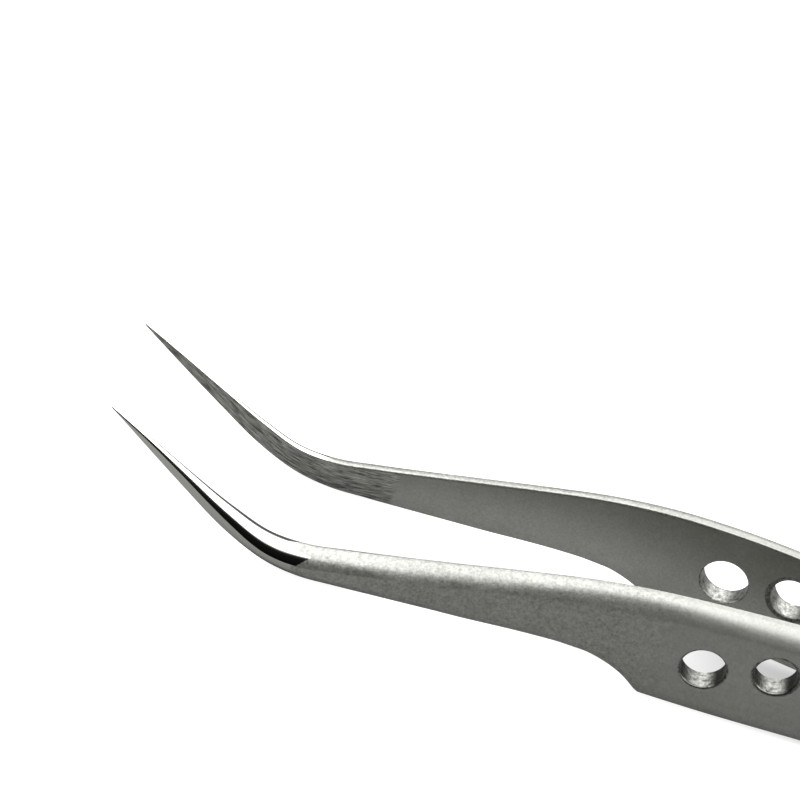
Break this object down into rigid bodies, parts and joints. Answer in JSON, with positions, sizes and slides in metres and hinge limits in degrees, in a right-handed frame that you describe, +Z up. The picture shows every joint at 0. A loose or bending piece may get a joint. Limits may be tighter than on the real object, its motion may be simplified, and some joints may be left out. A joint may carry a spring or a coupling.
{
  "type": "precision tweezers",
  "caption": "Curved fine-point precision tweezers of spring steel: satin arms welded at the tail, mirror-polished tips, finger notch and pierced grips.",
  "frame": {"origin": "centre of the footprint, on the surface that the grips' lower edges stand on", "axes": "+X from the tips to the tail along the arms, +Y across the jaw gap, +Z up, the side the points bend towards"},
  "size_m": [0.12, 0.0142, 0.0104],
  "materials": {
    "steel_rear": "bead-blasted satin, mirror-polished outside of the tip",
    "steel_front": "bead-blasted satin, mirror-polished outside of the tip"
  },
  "bodies": {
    "rear": {"arm_rear": "steel_rear"},
    "front": {"arm_front": "steel_front"}
  },
  "joints": [
    {"name": "squeeze", "type": "hinge", "parent": "rear", "child": "front", "pos_m": [0.0485, 0, 0], "axis": [0, 0, -1], "range_deg": [0, 5.97], "stiffness_Nm_per_rad": 0.7}
  ]
}
